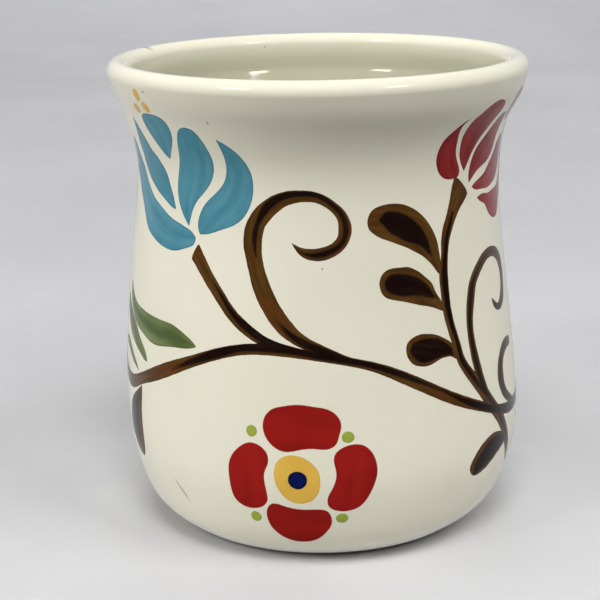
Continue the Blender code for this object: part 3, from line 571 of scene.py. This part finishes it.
def add(tree, kind, settings=None, **inputs):
    """A shader node with its settings and inputs; an input is a value or another node's output."""
    made = tree.nodes.new("ShaderNode" + kind)
    for key, value in (settings or {}).items():
        setattr(made, key, value)
    for key, value in inputs.items():
        socket = made.inputs[int(key[1:])] if key[0] == "i" and key[1:].isdigit() else made.inputs[key]
        if isinstance(value, bpy.types.NodeSocket):
            tree.links.new(value, socket)
        else:
            socket.default_value = value
    return made


def maths(tree, operation, a, b):
    return add(tree, "Math", {"operation": operation}, i0=a, i1=b).outputs[0]


def times(tree, a, b):
    return maths(tree, "MULTIPLY", a, b)


def mix(tree, factor, a, b):
    made = add(tree, "Mix", {"data_type": "RGBA"}, i0=factor)
    for socket, value in ((made.inputs[6], a), (made.inputs[7], b)):
        if isinstance(value, bpy.types.NodeSocket):
            tree.links.new(value, socket)
        else:
            socket.default_value = (*value, 1.0)
    return made.outputs[2]


def ramp(tree, value, low, high):
    """0 below low, 1 above high, smooth between."""
    made = add(tree, "MapRange", {"interpolation_type": "SMOOTHSTEP"}, i0=value, i1=low, i2=high)
    return made.outputs[0]


def fade(tree, value, low, high):
    """1 below low, 0 above high, smooth between."""
    return maths(tree, "SUBTRACT", 1.0, ramp(tree, value, low, high))


def noise(tree, vector, scale, detail=3.0, rough=0.5):
    return add(tree, "TexNoise", None, Vector=vector, Scale=scale, Detail=detail,
               Roughness=rough).outputs["Fac"]


def attribute(tree, name):
    return add(tree, "Attribute", {"attribute_name": name}).outputs["Fac"]


def object_place(tree):
    return add(tree, "TexCoord").outputs["Object"]


def cover(tree, shader, colour, roughness=GLAZE_ROUGHNESS):
    tree.links.new(colour, shader.inputs["Base Color"])
    shader.inputs["Roughness"].default_value = roughness
    shader.inputs["IOR"].default_value = GLAZE_IOR


def blemish(tree, place, centre, size, turn):
    """1 at a small mark on the wall, fading to 0 round it: its (x, height), its half length and half
    width, and how far it is turned from level."""
    x, height = centre
    spot = on_wall(x, height, 0.0) * MM
    local = add(tree, "Mapping", {"vector_type": "TEXTURE"}, Vector=place, Location=tuple(spot),
                Rotation=(0.0, math.radians(-turn), x / UNROLL_RADIUS),
                Scale=(size[0] * MM, BLEMISH_DEPTH * MM, size[1] * MM))
    far = add(tree, "VectorMath", {"operation": "LENGTH"}, i0=local.outputs[0]).outputs["Value"]
    return fade(tree, far, 0.45, 1.0)


def make_cream(name):
    material, tree, shader = build_nodes(name)
    place = object_place(tree)
    broad = ramp(tree, noise(tree, place, 28.0), 0.35, 0.65)
    blotch = ramp(tree, noise(tree, place, 75.0), 0.4, 0.65)
    colour = mix(tree, broad, GLAZE, GLAZE_PALE)
    colour = mix(tree, times(tree, blotch, 0.35), colour, GLAZE_BLOTCH)
    cells = add(tree, "TexVoronoi", None, Vector=place, Scale=105.0)
    speck = fade(tree, cells.outputs["Distance"], 0.010, 0.028)
    colour = mix(tree, times(tree, speck, 0.75), colour, SPECK)
    # painted shade: the glaze inside the cup is darkened towards this colour, from just below the lip down
    inside_shade = ramp(tree, attribute(tree, "inside"), 0.0, 1.0)
    colour = mix(tree, inside_shade, colour, GLAZE_INSIDE_SHADE)
    for centre, size, turn, strength in BLEMISHES:
        mark = blemish(tree, place, centre, size, turn)
        colour = mix(tree, times(tree, mark, strength), colour, BLEMISH)
    cover(tree, shader, colour)
    wave = noise(tree, place, 45.0, 2.0)
    fine = noise(tree, place, 900.0, 2.0)
    height = maths(tree, "ADD", wave, times(tree, fine, 0.04))
    bump = add(tree, "Bump", None, Strength=0.12, Distance=0.0006, Height=height)
    tree.links.new(bump.outputs[0], shader.inputs["Normal"])
    return material


def brush_vector(tree, along, across):
    """Texture coordinates stretched along the stroke, so that noise looks like bristle marks."""
    x = times(tree, attribute(tree, "along"), along)
    y = times(tree, attribute(tree, "across"), across)
    return add(tree, "CombineXYZ", None, X=x, Y=y).outputs[0]


def make_paint(name, light, deep, rim, streaks=(0.05, 0.45), rim_width=0.5, rib=0.0):
    """Underglaze colour: bristle streaks of light and deep, darker where it pooled at the edge and, for
    a leaf, along the rib."""
    material, tree, shader = build_nodes(name)
    marks = noise(tree, brush_vector(tree, *streaks), 1.0, 4.0, 0.55)
    cloud = noise(tree, object_place(tree), 110.0, 2.0)
    tone = maths(tree, "ADD", times(tree, marks, 0.6), times(tree, cloud, 0.4))
    if rib:
        ribbed = ramp(tree, attribute(tree, "dark"), -0.5, 0.5)
        tone = maths(tree, "SUBTRACT", tone, times(tree, ribbed, rib))
    colour = mix(tree, ramp(tree, tone, 0.325, 0.675), deep, light)
    edge = fade(tree, attribute(tree, "edge"), 0.05, rim_width)
    colour = mix(tree, times(tree, edge, 0.6), colour, rim)
    cover(tree, shader, colour)
    return material


def make_brown(name):
    """Two coats of brown: amber, with a near-black streak where the second coat lies."""
    material, tree, shader = build_nodes(name)
    marks = noise(tree, brush_vector(tree, 0.10, 0.8), 1.0, 4.0, 0.6)
    amber = mix(tree, ramp(tree, marks, 0.35, 0.65), AMBER_DEEP, AMBER)
    patch = ramp(tree, noise(tree, brush_vector(tree, 0.06, 0.1), 1.0, 2.0), 0.52, 0.62)
    amber = mix(tree, times(tree, patch, 0.35), amber, AMBER_RED)
    wander = times(tree, maths(tree, "SUBTRACT", marks, 0.5), 1.3)
    second = ramp(tree, maths(tree, "ADD", attribute(tree, "dark"), wander), -0.34, 0.42)
    core = mix(tree, ramp(tree, marks, 0.45, 0.75), SECOND_COAT_DEEP, SECOND_COAT)
    colour = mix(tree, second, amber, core)
    edge = fade(tree, attribute(tree, "edge"), 0.02, 0.34)
    colour = mix(tree, times(tree, edge, 0.75), colour, BROWN_RIM)
    cover(tree, shader, colour)
    return material


def make_clay(name):
    material, tree, shader = build_nodes(name)
    place = object_place(tree)
    grain = noise(tree, place, 1400.0, 4.0, 0.7)
    colour = mix(tree, ramp(tree, grain, 0.35, 0.7), (0.15, 0.10, 0.065), (0.30, 0.22, 0.15))
    cover(tree, shader, colour, 0.85)
    bump = add(tree, "Bump", None, Strength=0.5, Distance=0.0002, Height=grain)
    tree.links.new(bump.outputs[0], shader.inputs["Normal"])
    return material


CREAM = make_cream("glaze_cream")
CLAY = make_clay("clay_bare")
# each look's slot, light, deep and rim colours, and how its brush work differs
PAINTS = {
    "blue": ("paint_blue", (0.104, 0.31, 0.375), (0.06, 0.215, 0.30), (0.045, 0.155, 0.21), {}),
    "crimson": ("paint_red", (0.32, 0.035, 0.035), (0.19, 0.010, 0.012), (0.15, 0.013, 0.014), {}),
    "red": ("paint_red", (0.34, 0.013, 0.010), (0.25, 0.010, 0.008), (0.27, 0.014, 0.012),
            {"streaks": (0.04, 0.25)}),
    "green": ("paint_green", (0.20, 0.24, 0.085), (0.075, 0.11, 0.035), (0.10, 0.14, 0.05),
              {"streaks": (0.03, 0.5), "rib": 0.16}),
    "lime": ("paint_lime", (0.35, 0.42, 0.06), (0.29, 0.36, 0.05), (0.27, 0.35, 0.09), {}),
    "yellow": ("paint_yellow", (0.78, 0.49, 0.085), (0.72, 0.435, 0.068), (0.64, 0.40, 0.10),
               {"streaks": (0.03, 0.2)}),
    "navy": ("paint_navy", (0.004, 0.012, 0.11), (0.003, 0.008, 0.07), (0.003, 0.004, 0.010),
             {"rim_width": 0.9}),
}
# each look's slot and material
LOOKS = {"brown": ("paint_brown", make_brown("underglaze_brown"))}
for paint_look, (paint_slot, light, deep, rim, brush) in PAINTS.items():
    LOOKS[paint_look] = (paint_slot, make_paint("underglaze_" + paint_look, light, deep, rim, **brush))


# ---------------- the clay

def inside_wall():
    """Rows down the inside, from the lip to the middle of the floor."""
    heights = np.arange(HEIGHT - INSIDE_TOP, FLOOR_TOP + FLOOR_FILLET, -INSIDE_STEP)
    radius = np.interp(heights, OUTER[:, 1], OUTER[:, 0]) - WALL + TURNING_LINES * np.sin(heights)
    wall = np.column_stack([radius, heights])
    shoulder = spline([tuple(LIP[-1]), (LIP[-1, 0] - 0.1, LIP[-1, 1] - 1.4),
                       (LIP[-1, 0] - 0.5, LIP[-1, 1] - 3.2), tuple(wall[0])], 0.5)[1][1:-1]
    corner_radius = np.interp(FLOOR_TOP + FLOOR_FILLET, OUTER[:, 1], OUTER[:, 0]) - WALL
    corner = arc((corner_radius - FLOOR_FILLET, FLOOR_TOP + FLOOR_FILLET), FLOOR_FILLET, 0, -90, 14)
    flat = np.linspace(corner[-1, 0], 0, 10)[1:]
    floor = np.column_stack([flat, FLOOR_TOP + FLOOR_RIPPLE * np.cos(flat * 0.9)])
    return np.vstack([shoulder, wall, corner, floor])


def make_cup():
    under = [(0, RECESS), (12, RECESS), (FOOT_INNER - 3, RECESS), (FOOT_INNER - 1.2, 1.7),
             (FOOT_INNER - 0.2, 0.9), (FOOT_INNER + 0.8, 0.6), (FOOT_OUTER - 1.2, 0.55),
             (FOOT_OUTER - 0.2, 0.75)]
    turned("cup", np.vstack([under, OUTER[1:], LIP, inside_wall()]), CREAM, ["cup_body"])
    ring = [(FOOT_INNER - 0.6, 1.4), (FOOT_INNER - 0.2, 0.5), (FOOT_INNER + 0.4, 0.0),
            (FOOT_OUTER - 0.9, 0.0), (FOOT_OUTER - 0.1, 0.12), (FOOT_OUTER + 0.35, 0.5),
            (FOOT_OUTER + 0.4, 0.8), (FOOT_OUTER - 0.4, 1.8), (FOOT_INNER + 1.0, 2.2)]
    turned("foot_ring", ring, CLAY, [], closed=True)


def handle_ring(row, heading):
    """The handle's section at a (y, z, width, thickness) row."""
    y, z, width, thickness = row
    angles = all_round(HANDLE_SIDES)
    across = 0.5 * width * np.sign(np.cos(angles)) * np.abs(np.cos(angles)) ** 0.85
    lift = 0.5 * thickness * np.sign(np.sin(angles)) * np.abs(np.sin(angles)) ** 0.9
    # two fingers drawn down the wet clay leave a shallow channel along the outside
    lift -= CHANNEL_DEPTH * np.exp(-(across / CHANNEL_WIDTH) ** 2) * (np.sin(angles) > 0)
    return np.column_stack([across, y - lift * math.sin(heading), z + lift * math.cos(heading)])


def wall_ring(height, half_width, half_height):
    """An oval on the wall behind the handle, a little under the glaze."""
    angles = all_round(HANDLE_SIDES)
    radius = np.interp(height, OUTER[:, 1], OUTER[:, 0])
    across = half_width * np.cos(angles) * UNROLL_RADIUS / radius
    return on_wall(math.pi * UNROLL_RADIUS - across, height + half_height * np.sin(angles), -SEAT_SINK)


def make_handle():
    stops, rows, _ = spline(HANDLE_PATH, 0.8)
    inside = (stops > FLARE) & (stops < stops[-1] - FLARE)
    slope = np.gradient(rows[:, :2], stops, axis=0)
    headings = np.arctan2(slope[:, 1], slope[:, 0])
    middle = [handle_ring(row, heading) for row, heading in zip(rows[inside], headings[inside])]
    rings = []
    for turn, seat, end in zip((1, -1), HANDLE_SEATS, (middle[0], middle[-1])):
        height, half_width, half_height = seat
        low = wall_ring(height, half_width, turn * half_height)
        flare = []
        for theta in np.linspace(0, np.pi / 2, FLARE_STEPS + 1)[:-1]:
            spread = math.sin(theta)
            rise = 1 - math.cos(theta)
            flare.append(low + (end - low) * np.array([spread, rise, spread]))
        buried = low + (low.mean(axis=0) - low) * 0.25 - np.array([0, BURIED, 0])
        ends = [buried] + flare
        rings.append(ends if turn == 1 else ends[::-1])
    rings = rings[0] + middle + rings[1]
    columns = HANDLE_SIDES
    faces = [face[::-1] for face in tube_faces(len(rings), columns)]
    count = len(rings) * columns
    vertices = np.vstack(rings + [rings[0].mean(axis=0)[None], rings[-1].mean(axis=0)[None]])
    top = (len(rings) - 1) * columns
    faces += fan(0, columns, count) + fan(top, columns, count + 1, flip=True)
    piece("pulled_handle", vertices, faces, CREAM,
          ["handle", "handle_joint_upper", "handle_joint_lower"])


# ---------------- the paint

def line_edges(order, name, path):
    """A line's two edges, with its ends rounded off or cut aslant, and the outlines of its dark streak."""
    path = [tuple(row) + (0.0,) * (5 - len(row)) for row in path]
    stops, _, at = spline(path, STROKE_STEP)
    length = stops[-1]
    caps = [CAP * row[2] if row[2] >= CAP_LEAST else 0.0 for row in (path[0], path[-1])]
    if name in FLAT_STARTS:
        caps[0] *= FLAT_CAP / CAP
    start = np.multiply(CAP_STEPS, caps[0])
    finish = length - np.multiply(CAP_STEPS, caps[1])
    stops = np.unique(np.round(np.concatenate([stops, start, finish]), 4))
    x, height, wide, share, side = at(stops).T
    half = np.maximum(0.5 * wide, THINNEST)
    for reach, distance in ((caps[0], stops), (caps[1], length - stops)):
        if reach:
            half = np.maximum(half * np.sqrt(1 - (1 - np.clip(distance / reach, 0, 1)) ** 2), THINNEST)
    half = half * (1 + 0.012 * np.sin(stops * 1.7 + order) + 0.008 * np.sin(stops * 3.9 + 2 * order))
    heading = np.column_stack([np.gradient(x, stops), np.gradient(height, stops)])
    heading /= np.hypot(heading[:, 0], heading[:, 1])[:, None]
    spine = np.column_stack([x, height])
    left = np.column_stack([-heading[:, 1], heading[:, 0]])
    cores = []
    dark = np.concatenate([[False], share > 0.05, [False]]).astype(int)
    turns = np.flatnonzero(np.diff(dark))
    for first, last in zip(turns[::2], turns[1::2]):
        if last - first > 2:
            low = spine + (half * (side - share))[:, None] * left
            high = spine + (half * (side + share))[:, None] * left
            cores.append(np.vstack([low[first:last], high[first:last][::-1]]))
    ahead = (FLAT_STARTS.get(name, 0.0) * half * np.exp(-(stops / FLAT_FADE) ** 2))[:, None] * heading
    return spine - half[:, None] * left - ahead, spine + half[:, None] * left + ahead, cores


def over(points, outlines, floor):
    """The furthest the points are inside any of the outlines, or floor where outside them all."""
    best = np.full(len(points), float(floor))
    for outline in outlines:
        near = ((points > outline.min(axis=0) + floor) & (points < outline.max(axis=0) - floor)).all(axis=1)
        if near.any():
            best[near] = np.maximum(best[near], signed_distance(points[near], outline))
    return best


def proud(edge, order):
    """How far the paint's surface stands off the wall at a distance from its edge."""
    rise = np.clip(edge / PAINT_SHOULDER, 0, 1)
    return -PAINT_SINK + (PAINT_SINK + PAINT_LIFT + LAYER * order) * rise * rise * (3 - 2 * rise)


def paint(name, look, vertices, faces, values):
    """A piece of paint, which stands for the solid of the same name."""
    slot, material = LOOKS[look]
    stands_for = ["red_stem", "stem_tail"] if name == "red_stem" else [name]
    piece(name + "_paint", vertices, faces, material, stands_for, values)


def make_stroke(order, name, look, right, left, outlines, cores):
    """A touch of paint between two edges. Where other outlines of the same colour lie across it, its
    edges don't show."""
    width = np.hypot(*(left - right).T)
    columns = int(np.clip(2 * round(width.max() / COLUMN / 2), 8, 30))
    share = np.sin(np.linspace(-np.pi / 2, np.pi / 2, columns + 1))
    mixed = 0.5 * (1 + share)[None, :, None]
    grid = right[:, None] * (1 - mixed) + left[:, None] * mixed
    points = grid.reshape(-1, 2)
    shape = grid.shape[:2]
    own = np.maximum(signed_distance(points, np.vstack([right, left[::-1]])), 0)
    own = np.where(np.abs(np.broadcast_to(share, shape)).ravel() > 0.9999, 0, own)
    across = 0.5 * width[:, None] * share
    if cores is None:
        dark = 0.15 * width[:, None] - np.abs(across - 0.08 * width[:, None])
        edge = own
    else:
        dark = over(points, cores, -1)
        edge = np.maximum(own, over(points, outlines, 0))
    middle = 0.5 * (right + left)
    travel = np.concatenate([[0], np.cumsum(np.hypot(*np.diff(middle, axis=0).T))])
    offset = proud(own, order)
    surface = on_wall(points[:, 0], points[:, 1], offset)
    under = on_wall(points[:, 0], points[:, 1], np.full_like(offset, -PAINT_DEPTH))
    wide_row = columns + 1
    count = len(points)
    rows = len(right)
    faces = []
    for row in range(rows - 1):
        for column in range(columns):
            corner = row * wide_row + column
            quad = (corner, corner + 1, corner + 1 + wide_row, corner + wide_row)
            faces.append(quad[::-1])
            faces.append(tuple(count + index for index in quad))
        for column, flip in ((0, 1), (columns, -1)):
            corner = row * wide_row + column
            quad = (corner, corner + wide_row, count + corner + wide_row, count + corner)
            faces.append(quad[::-flip])
    for row, flip in ((0, -1), (rows - 1, 1)):
        for column in range(columns):
            corner = row * wide_row + column
            quad = (corner, corner + 1, count + corner + 1, count + corner)
            faces.append(quad[::-flip])
    along = np.repeat(travel[:, None] + 60.0 * order, wide_row, axis=1)
    values = {"edge": edge, "along": along, "across": across, "dark": dark}
    values = {key: np.concatenate([value.ravel(), value.ravel()]) for key, value in values.items()}
    paint(name, look, np.vstack([surface, under]), faces, values)


def make_dab(order, name, look, heading, outline):
    """A dab of paint within a closed outline."""
    if signed_area(outline) < 0:
        outline = outline[::-1]
    middle = outline.mean(axis=0)
    sides = len(outline)
    points = np.vstack([middle + share * (outline - middle) for share in DAB_RINGS] + [middle[None]])
    edge = np.maximum(signed_distance(points, outline), 0)
    edge[:sides] = 0
    surface = on_wall(points[:, 0], points[:, 1], proud(edge, order))
    low = np.vstack([outline, middle[None]])
    under = on_wall(low[:, 0], low[:, 1], np.full(sides + 1, -PAINT_DEPTH))
    vertices = np.vstack([under[:-1], surface, under[-1:]])
    faces = tube_faces(len(DAB_RINGS) + 1, sides)
    top = len(DAB_RINGS) * sides
    faces += fan(top, sides, top + sides) + fan(0, sides, top + sides + 1, flip=True)
    points = np.vstack([outline, points, middle[None]])
    turn = math.radians(heading)
    values = {
        "edge": np.concatenate([np.zeros(sides), edge, [0]]),
        "along": points @ np.array([math.cos(turn), math.sin(turn)]) + 60.0 * order,
        "across": (points - middle) @ np.array([-math.sin(turn), math.cos(turn)]),
        "dark": np.full(len(points), -1.0),
    }
    paint(name, look, vertices, faces, values)


def make_painting():
    strokes = []
    for place, (name, look, path) in enumerate(LINES):
        strokes.append((name, look, *line_edges(place, name, path)))
    for name, look, start, end, one, other, *core in MARKS:
        cores = [np.vstack([edges[0], edges[1][::-1]])
                 for edges in (two_edges(*second, STROKE_STEP) for second in core)]
        strokes.append((name, look, *two_edges(start, end, one, other, STROKE_STEP), cores))
    outlines = [np.vstack([right, left[::-1]]) for _, look, right, left, _ in strokes if look == "brown"]
    cores = [core for _, look, _, _, own in strokes if look == "brown" for core in own]
    for place, (name, look, right, left, _) in enumerate(strokes):
        brown = look == "brown"
        make_stroke(place % LINE_LAYERS, name, look, right, left, outlines if brown else [],
                    cores if brown else None)
    for place, (name, look, heading, points) in enumerate(DABS):
        make_dab(place % DAB_LAYERS, name, look, heading, closed_curve(points, DAB_STEP))
    for place, (name, look, (x, height), (wide, high)) in enumerate(DOTS):
        angles = all_round(DOT_SIDES)
        size = 1 + 0.012 * np.sin(3 * angles + place)
        outline = np.column_stack([x + wide * size * np.cos(angles), height + high * size * np.sin(angles)])
        make_dab(DOT_LAYER, name, look, 0, outline)


# ---------------- the stage

def make_sheet(name, material, profile, lights):
    """A sheet over (y, z) rows, which may throw light back at the mug."""
    vertices = []
    for y, z in profile:
        vertices += [(-SHEET_HALF_WIDTH, y, z), (SHEET_HALF_WIDTH, y, z)]
    faces = [(2 * k, 2 * k + 1, 2 * k + 3, 2 * k + 2) for k in range(len(profile) - 1)]
    sheet = add_object(name, smooth_mesh(name, vertices, faces, material))
    sheet.visible_diffuse = lights
    sheet.visible_glossy = False


def make_stage():
    """A pale sheet that lies under the mug and sweeps up behind it. The room in front is dark, so the
    front of the sheet doesn't light the mug, and the glaze shows the room and not the sheet."""
    material, tree, shader = build_nodes("paper")
    place = object_place(tree)
    cloud = noise(tree, place, 6.0, 3.0)
    fibre = noise(tree, place, 260.0, 3.0)
    colour = mix(tree, ramp(tree, cloud, 0.3, 0.7), (0.55, 0.55, 0.565), (0.60, 0.60, 0.615))
    mottle = ramp(tree, noise(tree, place, 45.0, 6.0, 0.65), 0.5, 0.75)
    colour = mix(tree, times(tree, mottle, 0.35), colour, (0.64, 0.64, 0.64))
    colour = mix(tree, times(tree, fibre, 0.10), colour, (0.46, 0.46, 0.46))
    cover(tree, shader, colour, 0.8)
    bend = arc((SHEET_BEND, SHEET_RADIUS), SHEET_RADIUS, -90, 0, 23).tolist()
    sweep = [(SHEET_SPLIT, 0), *bend, (SHEET_BEND + SHEET_RADIUS, SHEET_BACK_HEIGHT)]
    make_sheet("paper_sweep", material, sweep, True)
    make_sheet("paper_front", material, [(-SHEET_HALF_WIDTH, 0), (SHEET_SPLIT, 0)], False)


def area_light(name, place, target, size, power, colour=(1, 1, 1), shines=True):
    """A rectangular light; one that doesn't shine lights the glaze without a reflection in it."""
    data = bpy.data.lights.new(name, "AREA")
    data.shape = "RECTANGLE"
    data.size, data.size_y = size
    data.energy = power
    data.color = colour
    lamp = add_object(name, data)
    lamp.location = place
    lamp.rotation_euler = (Vector(target) - Vector(place)).to_track_quat("-Z", "Y").to_euler()
    lamp.visible_glossy = shines


def at_angle(azimuth, elevation, distance):
    """A place seen from the mug at an azimuth from the front and an elevation, in degrees."""
    turn = math.radians(azimuth)
    rise = math.radians(elevation)
    away = distance * math.cos(rise)
    return (away * math.sin(turn), -away * math.cos(turn), LIGHT_PIVOT + distance * math.sin(rise))


def make_lights():
    """A room that is dark in front of the mug and pale behind it, and soft lights round it."""
    world = bpy.data.worlds.new("room")
    world.use_nodes = True
    tree = world.node_tree
    place = add(tree, "TexCoord").outputs["Generated"]
    heading = add(tree, "SeparateXYZ", None, Vector=place)
    behind = ramp(tree, heading.outputs["Y"], -0.1, 0.95)
    colour = mix(tree, behind, (0.015, 0.015, 0.016), (0.48, 0.49, 0.51))
    tree.links.new(colour, tree.nodes["Background"].inputs[0])
    world.cycles_visibility.diffuse = False
    bpy.context.scene.world = world
    for name, azimuth, elevation, power in SOFT_LIGHTS:
        place = at_angle(azimuth, elevation, SOFT_DISTANCE)
        area_light(name, place, LIGHT_TARGET, SOFT_SIZE, power, shines=False)
    area_light("backdrop", (0, 1.1, 1), (0, 1.2, 0.2), (0.8, 0.4), 3.2, (0.93, 0.94, 1), shines=False)
    for name, azimuth, elevation, power, size in GLINTS:
        place = at_angle(azimuth, elevation, GLINT_DISTANCE)
        area_light(name, place, LIGHT_TARGET, size, power, GLINT_COLOUR)


def make_camera():
    data = bpy.data.cameras.new("camera")
    data.sensor_width = 36.0
    data.lens = CAMERA_LENS
    data.clip_start = 0.01
    camera = add_object("camera", data)
    tilt = Matrix.Rotation(math.radians(90 - CAMERA_DOWN), 4, "X")
    roll = Matrix.Rotation(math.radians(CAMERA_ROLL), 4, "Z")
    camera.matrix_world = Matrix.Translation(CAMERA_PLACE) @ tilt @ roll
    bpy.context.scene.camera = camera


make_cup()
make_handle()
make_painting()
make_stage()
make_lights()
make_camera()
bpy.context.scene.view_settings.view_transform = "Standard"
